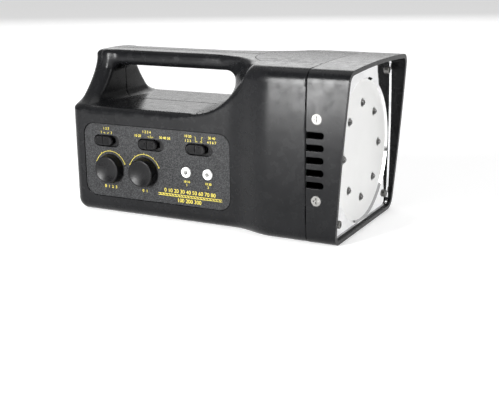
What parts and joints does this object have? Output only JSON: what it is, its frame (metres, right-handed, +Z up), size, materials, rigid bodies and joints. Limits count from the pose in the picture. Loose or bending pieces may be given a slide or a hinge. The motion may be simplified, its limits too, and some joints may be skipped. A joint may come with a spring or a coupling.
{
  "type": "digital strobe light",
  "caption": "Hand-held digital strobe light with a hooded ring of lamps, a carrying grip, a roof display, two dials, slide switches and input jacks.",
  "frame": {"origin": "middle of the underside's footprint, on the surface it stands on", "axes": "+X towards the lamp, -Y towards the control panel, +Z up"},
  "size_m": [0.2284, 0.12, 0.12],
  "materials": {
    "housing_plastic": "fine spark-eroded texture, satin",
    "black_plastic": "satin black",
    "white_plastic": "white, satin",
    "panel_face": "speckled dark grey",
    "mirror_plate": "polished plate",
    "steel": "nickel plated",
    "pot_metal": "zinc plated",
    "clear_lens": "clear epoxy",
    "window": "glossy smoked acrylic",
    "lcd_glass": "liquid crystal glass",
    "circuit_board": "green solder mask",
    "capacitor_sleeve": "printed sleeve, plain",
    "ferrite": "ferrite core",
    "aluminium": "natural",
    "brass": "turned"
  },
  "bodies": {
    "root": {"left_shell": "housing_plastic", "right_shell": "housing_plastic", "housing_screws": "steel", "front_bezel": "housing_plastic", "bezel_screws": "steel", "reflector_plate": "mirror_plate", "plate_screws": "steel", "led_disc": "white_plastic", "led_board": "circuit_board", "leds": "clear_lens", "board_spacers": "white_plastic", "led_board_screws": "steel", "display_window": "window", "display_frame": "black_plastic", "lcd": "lcd_glass", "display_board": "circuit_board", "label_panel": "panel_face", "coarse_potentiometer": "pot_metal", "fine_potentiometer": "pot_metal", "coarse_nut": "pot_metal", "fine_nut": "pot_metal", "switch_bodies": "black_plastic", "jack_sockets": "white_plastic", "jack_rings": "white_plastic", "control_board": "circuit_board", "main_board": "circuit_board", "board_screws": "steel", "capacitors": "capacitor_sleeve", "transformer": "ferrite", "heat_sink": "aluminium", "power_inlet": "black_plastic", "tripod_insert": "brass"},
    "coarse_dial": {"coarse_knob": "black_plastic", "coarse_shaft": "pot_metal"},
    "fine_dial": {"fine_knob": "black_plastic", "fine_shaft": "pot_metal"},
    "range_switch": {"range_slider": "black_plastic"},
    "mode_switch": {"mode_slider": "black_plastic"},
    "input_switch": {"input_slider": "black_plastic"}
  },
  "joints": [
    {"name": "coarse_turn", "type": "hinge", "parent": "root", "child": "coarse_dial", "pos_m": [-0.0796, -0.05, 0.0352], "axis": [0, 1, 0], "range_deg": [-150, 150]},
    {"name": "fine_turn", "type": "hinge", "parent": "root", "child": "fine_dial", "pos_m": [-0.0498, -0.05, 0.0352], "axis": [0, 1, 0], "range_deg": [-150, 150]},
    {"name": "range_slide", "type": "slide", "parent": "root", "child": "range_switch", "axis": [1, 0, 0], "range_m": [0, 0.0058]},
    {"name": "mode_slide", "type": "slide", "parent": "root", "child": "mode_switch", "axis": [1, 0, 0], "range_m": [0, 0.0058]},
    {"name": "input_slide", "type": "slide", "parent": "root", "child": "input_switch", "axis": [1, 0, 0], "range_m": [0, 0.0058]}
  ]
}
